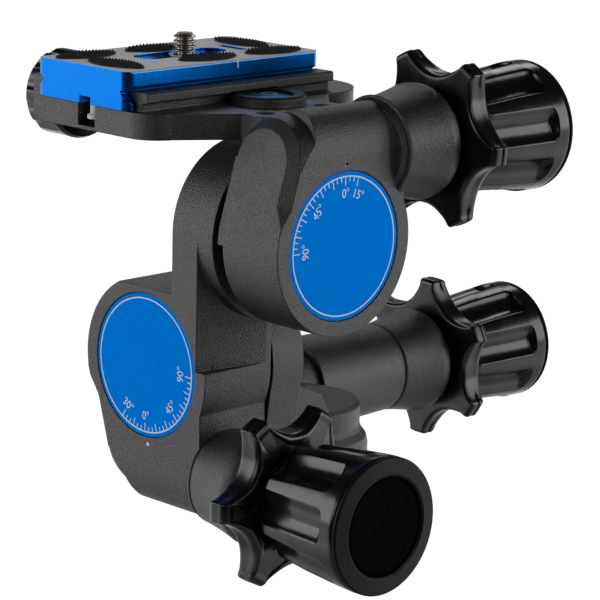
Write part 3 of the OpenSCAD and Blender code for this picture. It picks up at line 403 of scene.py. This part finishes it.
def fillet(points, radii, steps):
    """Round the corners of an open profile; radii has one number per point, the first and last unused."""
    straight, share, lead, least = 1.5, 0.45, 0.12, 0.02
    out = [points[0]]
    for i in range(1, len(points) - 1):
        a, p, b = (Vector(points[k]) for k in (i - 1, i, i + 1))
        u, v = a - p, b - p
        reach = min(u.length, v.length) * share
        u.normalize()
        v.normalize()
        half = math.acos(max(-1, min(1, u.dot(v)))) / 2
        if radii[i] <= 0 or half > straight:
            out.append(tuple(p))
            continue
        back = min(radii[i] / math.tan(half), reach)
        r = back * math.tan(half)
        centre = p + (u + v).normalized() * (r / math.sin(half))
        start, end = p + u * back, p + v * back
        # one more point on each side keeps the flats flat under smooth shading
        hold = min(lead, reach - back + least)
        out.append(tuple(start + u * hold))
        for k in range(steps + 1):
            ray = (start - centre).lerp(end - centre, k / steps).normalized() * r
            out.append(tuple(centre + ray))
        out.append(tuple(end + v * hold))
    out.append(points[-1])
    return out


def turned(name, profile, matrix, material, node, replaces=True, segments=192):
    """A turned piece: profile points (r, z), radius zero at a pole."""
    verts, faces, rings = [], [], []
    for r, z in profile:
        if r < 1e-6:
            rings.append([len(verts)])
            verts.append((0, 0, z))
            continue
        rings.append(list(range(len(verts), len(verts) + segments)))
        verts += [(r * math.cos(a), r * math.sin(a), z)
                  for a in (2 * math.pi * k / segments for k in range(segments))]
    for a, b in zip(rings, rings[1:]):
        if len(a) == 1 and len(b) == 1:
            continue
        for k in range(segments):
            n = (k + 1) % segments
            if len(a) == 1:
                faces.append((a[0], b[k], b[n]))
            elif len(b) == 1:
                faces.append((a[k], b[0], a[n]))
            else:
                faces.append((a[k], b[k], b[n], a[n]))
    piece(name, verts, faces, matrix, material, node, replaces)


def smooth_min(a, b, k):
    h = max(0.0, min(1.0, 0.5 + 0.5 * (b - a) / k))
    return b + (a - b) * h - k * h * (1 - h)


def around(name, rings, matrix, material, node, segments=384):
    """A piece whose radius changes around its axis: rings is a closed list of functions angle -> (r, z)."""
    verts, faces = [], []
    for ring in rings:
        for k in range(segments):
            a = 2 * math.pi * k / segments
            r, z = ring(a)
            verts.append((r * math.cos(a), r * math.sin(a), z))
    for i in range(len(rings)):
        j = (i + 1) % len(rings)
        for k in range(segments):
            n = (k + 1) % segments
            faces.append((i * segments + k, j * segments + k, j * segments + n, i * segments + n))
    piece(name, verts, faces, matrix, material, node)


# ---------------------------------------------------------------- knobs (millimetres)

GRIP_L, GRIP_R, END_L = 31.4, 18.2, 1.9         # grip with its end ring, its radius, the end ring alone
RING_GAP, RING_T, GRIP_START = 1.2, 8.0, 9.8    # release ring and grip, from the end of the neck
SHAFT_BORE = 4.5
FLUTES, FLUTE_R, FLUTE_DEPTH = 8, 6.8, 2.3
FLUTE_WALL, FLUTE_BEND = 4.2, 2.4               # wall between a flute and the end ring, and its rounding
NO_CUT = 99.0
END_BORE, SEAT_R, SEAT_DEPTH = 4.2, 13.2, 1.5   # end ring: its bore and the seat of the black disc
LOBES, TIP_R, VALLEY_R = 6, 24.6, 17.8
BITE_AT, LOBE_ROUND, LOBE_FREE = 30.0, 5.0, 40.0
DISH_R, DISH_DROP, DISH_RUN = 16.8, 3.1, 10.8   # the ring's front falls from here, by so much over so much
EDGE_BACK, EDGE_FRONT = 1.4, 1.5                # rounded edges of the release ring
COLLAR_L, COLLAR_R1, COLLAR_R2 = 19, 13.2, 16.0
NECK_BORE, HUB_R, FOOT, GROOVE = 7.4, 10.4, 1.1, 0.6


def grip(prefix, matrix, end, turn):
    """Conical grip, widest at the end ring, with eight scooped flutes, open at the back."""
    start = end + GRIP_START
    body = GRIP_L - END_L
    wall, bend = body - FLUTE_WALL, FLUTE_BEND
    outline = [
        (GRIP_R - 5, 0.0), (GRIP_R - 3.1, 0.5), (GRIP_R - 2.5, 1.6), (GRIP_R - 1.2, 12),
        (GRIP_R - 0.2, 24), (GRIP_R, body - 1.2), (GRIP_R - 0.05, body - 0.6),
        (GRIP_R - 0.2, body - 0.2), (GRIP_R - 0.5, body)]

    def base_radius(z):
        for (r0, z0), (r1, z1) in zip(outline, outline[1:]):
            if z <= z1:
                t = (z - z0) / (z1 - z0)
                return r0 + (r1 - r0) * t
        return outline[-1][0]

    def cut(angle, z):
        step = 2 * math.pi / FLUTES
        a = (angle - math.radians(turn) - step / 2) % step
        a = min(a, step - a)
        centre = base_radius(z) + FLUTE_R - FLUTE_DEPTH
        room = FLUTE_R ** 2 - (centre * math.sin(a)) ** 2
        if room <= 0 or z >= wall:
            return NO_CUT
        over = max(0.0, z - (wall - bend))
        lift = bend - math.sqrt(bend ** 2 - over ** 2)
        return centre * math.cos(a) - math.sqrt(room) + lift * 1.4

    def ring(z, inset=0.0):
        def at(angle):
            r = base_radius(z)
            c = cut(angle, z)
            r = smooth_min(r, c, 0.5) if c < NO_CUT else r
            return r - inset, z + start
        return at

    # rings lie close together at the rounded ends of the body and of the flutes
    heights = [0.0, 0.12, 0.3, 0.5, 0.8, 1.2, 1.8] + [2.4 + i * (body - 3.4) / 60 for i in range(61)]
    heights = [z for z in heights if z < wall - bend - 0.1 or z > wall + 0.4]
    heights += [wall - bend + (bend + 0.3) * i / 24 for i in range(25)]
    heights += [body - 0.8, body - 0.6, body - 0.4, body - 0.2, body - 0.05]
    heights.sort()
    rings = [lambda a: (SHAFT_BORE, start + 0.35), lambda a: (9.0, start + 0.05), lambda a: (12.2, start)]
    rings += [ring(z) for z in heights]
    rings += [ring(body, 0.1), ring(body, 1.5), lambda a: (SHAFT_BORE, start + body)]
    around(prefix + "_grip", rings, matrix, MATS["black_gloss"], prefix + "_knob")


def end_ring(prefix, matrix, end):
    """Thin ring with a conical front round a sunk black disc."""
    front = end + GRIP_START + GRIP_L
    back, seat, r = end + GRIP_START + GRIP_L - END_L, front - SEAT_DEPTH, GRIP_R - 0.05
    profile = [
        (END_BORE, back), (r - 0.45, back), (r - 0.45, back + 0.25), (r, back + 0.45), (r, front - 0.9),
        (r - 0.5, front - 0.5), (SEAT_R + 0.6, front), (SEAT_R, front - 0.4), (SEAT_R, seat),
        (END_BORE, seat), (END_BORE, back)]
    radii = [0, 0.1, 0.1, 0.1, 0.4, 0.4, 0.3, 0.1, 0.1, 0.05, 0]
    turned(prefix + "_end_ring", fillet(profile, radii, 6), matrix, MATS["end_satin"],
           prefix + "_knob_ring")
    cap = [
        (0, front - 0.75), (6, front - 0.75), (12.2, front - 0.72), (12.5, front - 0.95),
        (12.8, front - 0.95), (13.15, front - 0.66), (13.15, seat), (6, seat), (0, seat)]
    turned(prefix + "_cap", fillet(cap, [0, 0, 0.1, 0.1, 0.1, 0.2, 0.1, 0, 0], 4), matrix,
           MATS["black_cap"], prefix + "_knob_cap")


def release_ring(prefix, matrix, end, turn):
    """Six rounded lobes with rounded edges, and a front that falls towards the tips and is dished inside."""
    start = end + RING_GAP
    bite = BITE_AT - VALLEY_R

    def outer(angle):
        step = 2 * math.pi / LOBES
        a = (angle - math.radians(turn)) % step
        a = min(a, step - a)
        room = bite ** 2 - (BITE_AT * math.sin(a)) ** 2
        edge = BITE_AT * math.cos(a) - math.sqrt(room) if room > 0 else LOBE_FREE
        return smooth_min(TIP_R, edge, LOBE_ROUND)

    def front(r):
        return RING_T - max(0.0, r - DISH_R) * DISH_DROP / DISH_RUN

    def at(back, z=None, drop=0.0):
        """Inside the outline by back, at height z or by drop below the front."""
        def ring(angle):
            r = outer(angle) - back
            return r, start + (front(r) - drop if z is None else z)
        return ring

    def fixed(r, z):
        return lambda angle: (r, start + z)

    quarter = [math.pi / 2 * k / 7 for k in range(8)]
    rings = [fixed(10.5, RING_T), fixed(10.5, 0.0), fixed(10.7, 0.0), fixed(14.6, 0.0)]
    rings += [at(2.0, 0.0), at(1.5, 0.03)]
    rings += [at(EDGE_BACK * (1 - math.sin(t)), EDGE_BACK * (1 - math.cos(t)) + 0.03) for t in quarter[1:]]
    rings += [at(0, 1.8), at(0.1, 3.0), at(0.16, 4.0), at(0.1, drop=2.6), at(0, drop=1.8), at(0, drop=1.6)]
    rings += [at(EDGE_FRONT * (1 - math.cos(t)), drop=EDGE_FRONT * (1 - math.sin(t))) for t in quarter]
    rings += [at(1.9), at(2.3, drop=0.12), at(2.7, drop=0.34), at(3.1, drop=0.45), at(3.4, drop=0.47)]
    rings += [fixed(13.2, RING_T - 0.42), fixed(12.8, RING_T - 0.38), fixed(12.4, RING_T - 0.1)]
    rings += [fixed(12.0, RING_T), fixed(11.0, RING_T)]
    around(prefix + "_release_ring", rings, matrix, MATS["ring_satin"], prefix + "_release",
           segments=480)


def neck(prefix, matrix, start, end):
    """Tube with a foot where there is one, a groove, the flared collar, and the hub of the release ring."""
    seam, r1, r2 = end - COLLAR_L, COLLAR_R1, COLLAR_R2
    far = end + GRIP_START - 0.4
    if seam > start:
        profile = [(NECK_BORE, start), (r1 + FOOT, start), (r1, seam - GROOVE), (r1 - GROOVE, seam - 0.3)]
        radii = [0, 0.25, 0.2, 0.1]
    else:
        profile = [(NECK_BORE, start), (r1, start), (r1 - GROOVE, seam + 0.02)]
        radii = [0, 0.25, 0.1]
    profile += [
        (r1 - GROOVE, seam + 0.3), (r1, seam + GROOVE), (r1 + 0.8, seam + 6.0), (r2 - 1.0, seam + 11.0),
        (r2 - 0.1, seam + 14.6), (r2 - 0.5, end - 2.2), (r2 - 1.6, end - 0.7), (r2 - 3.4, end),
        (HUB_R, end), (HUB_R, far), (NECK_BORE, far), (NECK_BORE, start)]
    radii += [0.1, 0.4, 10, 10, 8, 4, 2, 0.8, 0.2, 0.2, 0.1, 0]
    turned(prefix + "_collar", fillet(profile, radii, 6), matrix, MATS["neck_paint"],
           prefix + "_neck")


# ---------------------------------------------------------------- dials (millimetres)

DIAL_R, DIAL_TOP, DIAL_BACK = 19.7, -0.1, -1.2
PRINT_Z = -0.075
LINE_IN, LINE_OUT, LINE_STEPS = 18.25, 18.6, 240    # white ring
TICK_HALF, TICK_LONG, TICK_SHORT = 0.13, 2.3, 1.25
NUMBER_AT, NUMBER_H, NUMBER_SQUEEZE, NUMBER_LEFT = 14.0, 3.4, 0.92, 0.35
DEGREE_IN, DEGREE_OUT, DEGREE_STEPS = 0.3, 0.46, 24


def disc(prefix, matrix):
    profile = [
        (0, DIAL_TOP), (10, DIAL_TOP), (19.0, DIAL_TOP), (DIAL_R, -0.22), (DIAL_R, DIAL_BACK),
        (10, DIAL_BACK), (0, DIAL_BACK)]
    turned(prefix + "_dial_disc", fillet(profile, [0, 0, 0.1, 0.12, 0.1, 0, 0], 3), matrix, MATS["dial"],
           prefix + "_dial", segments=256)


def flat_ring(centre, inner, outer, steps, verts, faces):
    first = len(verts)
    for k in range(steps):
        t = 2 * math.pi * k / steps
        d = Vector((math.cos(t), math.sin(t)))
        verts += [(*(centre + d * inner), PRINT_Z), (*(centre + d * outer), PRINT_Z)]
    wrap = 2 * steps
    faces += [(first + 2 * k, first + 2 * k + 1, first + (2 * k + 3) % wrap, first + (2 * k + 2) % wrap)
              for k in range(steps)]


def digits(text, size):
    """Flat outline of a number as points and faces, centred on its own middle."""
    curve = bpy.data.curves.new("number", "FONT")
    curve.body = text
    curve.size = size
    curve.resolution_u = 6
    holder = bpy.data.objects.new("number", curve)
    bpy.context.scene.collection.objects.link(holder)
    mesh = bpy.data.meshes.new_from_object(holder.evaluated_get(bpy.context.evaluated_depsgraph_get()))
    points = [tuple(v.co)[:2] for v in mesh.vertices]
    polys = [tuple(p.vertices) for p in mesh.polygons]
    bpy.data.objects.remove(holder)
    bpy.data.curves.remove(curve)
    bpy.data.meshes.remove(mesh)
    xs, ys = [p[0] for p in points], [p[1] for p in points]
    mid = ((min(xs) + max(xs)) / 2, (min(ys) + max(ys)) / 2)
    return [(x - mid[0], y - mid[1]) for x, y in points], polys, max(xs) - min(xs), max(ys) - min(ys)


def markings(prefix, matrix, values, numbers, place, outward):
    """The white ring, the tick marks and the numbers. place(v) is the angle on the dial of a value."""
    verts, faces = [], []
    flat_ring(Vector((0, 0)), LINE_IN, LINE_OUT, LINE_STEPS, verts, faces)
    for v in values:
        a = place(v)
        u, w = Vector((math.cos(a), math.sin(a))), Vector((-math.sin(a), math.cos(a))) * TICK_HALF
        inner = LINE_IN - (TICK_LONG if v % 15 == 0 else TICK_SHORT)
        first = len(verts)
        verts += [(*p, PRINT_Z) for p in (u * inner + w, u * LINE_IN + w, u * LINE_IN - w, u * inner - w)]
        faces.append(tuple(range(first, first + 4)))
    for text, v in numbers:
        points, polys, wide, high = digits(text, NUMBER_H)
        points = [(x * NUMBER_SQUEEZE, y) for x, y in points]
        wide *= NUMBER_SQUEEZE
        a = place(v)
        radial = Vector((math.cos(a), math.sin(a)))
        up = radial if outward else -radial
        right = Vector((up.y, -up.x))
        centre = radial * NUMBER_AT
        first = len(verts)
        verts += [(*(centre + right * (x - NUMBER_LEFT) + up * y), PRINT_Z) for x, y in points]
        faces += [tuple(first + i for i in p) for p in polys]
        degree = centre + right * (wide / 2 + 0.35) + up * (high / 2 - 0.3)
        flat_ring(degree, DEGREE_IN, DEGREE_OUT, DEGREE_STEPS, verts, faces)
    piece(prefix + "_dial_marks", verts, faces, matrix, MATS["dial_white"], prefix + "_dial",
          replaces=False, smooth=False)


def spot(name, matrix, x, y, node, material, r=0.55, z=0.03):
    """A small round dot on the face of a housing."""
    profile = [(0, z), (r * 0.6, z), (r, z - 0.01), (r, z - 0.06)]
    place = matrix @ Matrix.Translation((x, y, 0))
    turned(name, profile, place, material, node, replaces=False, segments=48)


# ---------------------------------------------------------------- plate and clamp (millimetres)

PLATE_TOP, PLATE_X, PLATE_Y = 128.3, -33, 14
PADS = [    # x, y, turn, length, width
    (-27.5, -5.2, 90, 22.5, 10), (-23.5, 11.8, 0, 21, 11), (0, 10.9, 0, 21, 11),
    (0, -10.9, 0, 21, 11), (27.5, 5.2, 90, 22.5, 10), (23.5, -11.8, 0, 21, 11)]
PAD_ALONG, PAD_ACROSS = 150, 76                 # mesh steps over a pad
KNURL, KNURL_LOW, KNURL_H = 1.25, 0.32, 0.5     # pitch, height of the valleys, height of the pyramids
PAD_EDGE = 0.45
VIAL_R, VIAL_SAG, VIAL_DEPTH = 6.5, 0.5, 4.0


def pads():
    """Knurled rubber pads: lens outlines with rows of small pyramids."""
    verts, faces = [], []
    for cx, cy, turn, length, width in PADS:
        r = (length * length / 4 + width * width / 4) / width
        run = length / 2 - 0.5
        first = len(verts)
        ca, sa = math.cos(math.radians(turn)), math.sin(math.radians(turn))
        for i in range(PAD_ALONG + 1):
            x = -run + 2 * run * i / PAD_ALONG
            half = math.sqrt(max(r * r - x * x, 0)) - (r - width / 2)
            for j in range(PAD_ACROSS + 1):
                y = half * (-1 + 2 * j / PAD_ACROSS)
                edge = min(half - abs(y), run - abs(x))
                one, two = (1 - 2 * abs((d / KNURL) % 1 - 0.5) for d in (x + y, x - y))
                z = KNURL_LOW + KNURL_H * min(1.0, one * two * 1.5)
                z = min(z, -0.3 + 2.6 * edge) if edge < PAD_EDGE else z
                verts.append((cx + x * ca - y * sa, cy + x * sa + y * ca, PLATE_TOP + z))
        row = PAD_ACROSS + 1
        for i in range(PAD_ALONG):
            for j in range(PAD_ACROSS):
                a = first + i * row + j
                faces.append((a, a + 1, a + row + 1, a + row))
    piece("rubber_pads", verts, faces, Matrix.Translation((PLATE_X, PLATE_Y, 0)), MATS["pad_rubber"],
          "plate_pads")


def spirit_level():
    """Bezel, domed vial, and the ring and the bubble that show in it; the bubble sits off centre and is
    drawn as a lighter green ring, a painted highlight on its rim.
    """
    lo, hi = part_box("level_ring")
    cx, cy, z = (lo.x + hi.x) / 2 / MM, (lo.y + hi.y) / 2 / MM, hi.z / MM
    place = Matrix.Translation((cx, cy, z - 0.4))
    bezel = [
        (6.6, -1.4), (6.6, 0.1), (7.3, 0.36), (8.8, 0.36), (9.6, 0.3), (10.0, 0.0), (9.9, -0.4),
        (7.4, -0.42), (7.4, -1.4), (6.6, -1.4)]
    turned("level_bezel", fillet(bezel, [0, 0.2, 0.3, 0.2, 0.2, 0.3, 0.1, 0.1, 0.1, 0], 4), place,
           MATS["bezel"], "level_ring")
    dome = [(0, 0.1)] + [(VIAL_R * k / 14, 0.1 - VIAL_SAG * (k / 14) ** 2) for k in range(1, 15)]
    dome += [(VIAL_R, -VIAL_DEPTH), (0, -VIAL_DEPTH)]
    turned("level_glass", dome, place, MATS["level_green"], "level_vial", segments=128)
    for name, r, w, shift, material in (
            ("level_mark", 2.6, 0.16, (0, 0, 0), MATS["mark_black"]),
            # the bubble: a real bubble set off centre, coloured as a lighter ring that is a painted
            # highlight
            ("level_bubble", 1.9, 0.5, (0.9, 0.6, 0), MATS["bubble_highlight"])):
        low = 0.1 - VIAL_SAG * (r / VIAL_R) ** 2
        band = [(r - w, low + 0.01), (r - w / 2, low + 0.06), (r + w / 2, low + 0.06), (r + w, low + 0.01)]
        turned(name, band, place @ Matrix.Translation(shift), material, "level_vial",
               replaces=False, segments=96)


# ---------------------------------------------------------------- the scene

camera()
world()
floor()
area_light("left_box", (-1.05, 1.07, 0.42), (-0.02, 0, 0.07), (1.0, 0.75), 7)
area_light("right_box", (1.05, -1.07, 0.42), (-0.02, 0, 0.07), (1.0, 0.75), 7.5)
area_light("left_fill", (-1.3, -0.1, 0.6), (-0.02, 0, 0.07), (0.5, 0.6), 3)
area_light("front_fill", (0.1, -1.3, 0.6), (-0.02, 0, 0.07), (0.5, 0.6), 2.5)
area_light("top_box", (0.9, 0.9, 0.9), (-0.02, 0, 0.1), (0.9, 0.25), 2)

MATS = {
    "black_paint": powder_paint(),
    "neck_paint": powder_paint("neck_paint", 0.8),
    "black_satin": satin_black(),
    "ring_satin": satin_black("ring_satin", 0.45, 0.26),
    "end_satin": satin_black("end_satin", 0.5, 0.42, 0.16),
    "bezel": satin_black("bezel", 0.5, 0.5, 0.1),
    "black_gloss": gloss_black(),
    "black_cap": cap_black(),
    "dial": printed("dial_blue", (0.0, 0.27, 1.0), 0.6, 0.0),
    "dial_white": printed("dial_white", (0.9, 0.92, 0.95), 0.5),
    "mark_black": printed("mark_black", (0.01, 0.01, 0.01), 0.4),
    # pale green of the bubble ring is a painted highlight
    "bubble_highlight": printed("bubble_highlight", (0.2, 0.42, 0.3), 0.1),
    "blue_alloy": anodised_plate(),
    "steel": metal("steel", (0.6, 0.6, 0.62), 0.3),
    "screw_steel": metal("screw_steel", (0.5, 0.47, 0.44), 0.25),
    "white_pin": printed("white_pin", (0.75, 0.75, 0.77), 0.3),
    "bronze": metal("bronze", (0.62, 0.4, 0.17), 0.35),
    "pad_rubber": rubber(),
    "level_green": vial_green(),
}
# nodes that look other than their slot says
OWN = {"camera_screw": "screw_steel", "safety_pin": "white_pin"}
for part in frame["record"]["subparts"]:
    mesh = NODES[part["node"]].data
    mesh.materials.clear()
    mesh.materials.append(MATS[OWN.get(part["node"], part["material_slot"])])

# start and end of the neck along the knob's axis, and the turns of the flutes and of the lobes
for prefix, matrix, tube, end, flute_turn, lobe_turn in (
        ("pan", PAN_KNOB, 21.0, 75.3, 10.5, 33),
        ("tilt", TILT_KNOB, 22.3, 41.3, 16.0, 30),
        ("roll", ROLL_KNOB, 19.7, 38.7, 12.5, 4)):
    neck(prefix, matrix, tube, end)
    release_ring(prefix, matrix, end, lobe_turn)
    grip(prefix, matrix, end, flute_turn)
    end_ring(prefix, matrix, end)

# zero stands at the bottom of the tilt dial and at the top of the roll dial
disc("tilt", TILT_DIAL)
disc("roll", ROLL_DIAL)
markings("tilt", TILT_DIAL, range(-30, 91, 5), (("30", -30), ("0", 0), ("45", 45), ("90", 90)),
         lambda v: math.radians(v - 90), False)
markings("roll", ROLL_DIAL, range(-15, 91, 5), (("15", -19.5), ("0", 0.5), ("45", 45), ("90", 90)),
         lambda v: math.radians(v + 90), True)
spot("tilt_pointer", TILT_DIAL, 1.4, -21.7, "tilt_housing", MATS["dial_white"])
spot("roll_pointer_rim", ROLL_DIAL, 0.2, 21.7, "roll_housing", MATS["steel"], 0.75, 0.02)
spot("roll_pointer", ROLL_DIAL, 0.28, 21.7, "roll_housing", MATS["mark_black"], 0.6, 0.04)
pads()
spirit_level()
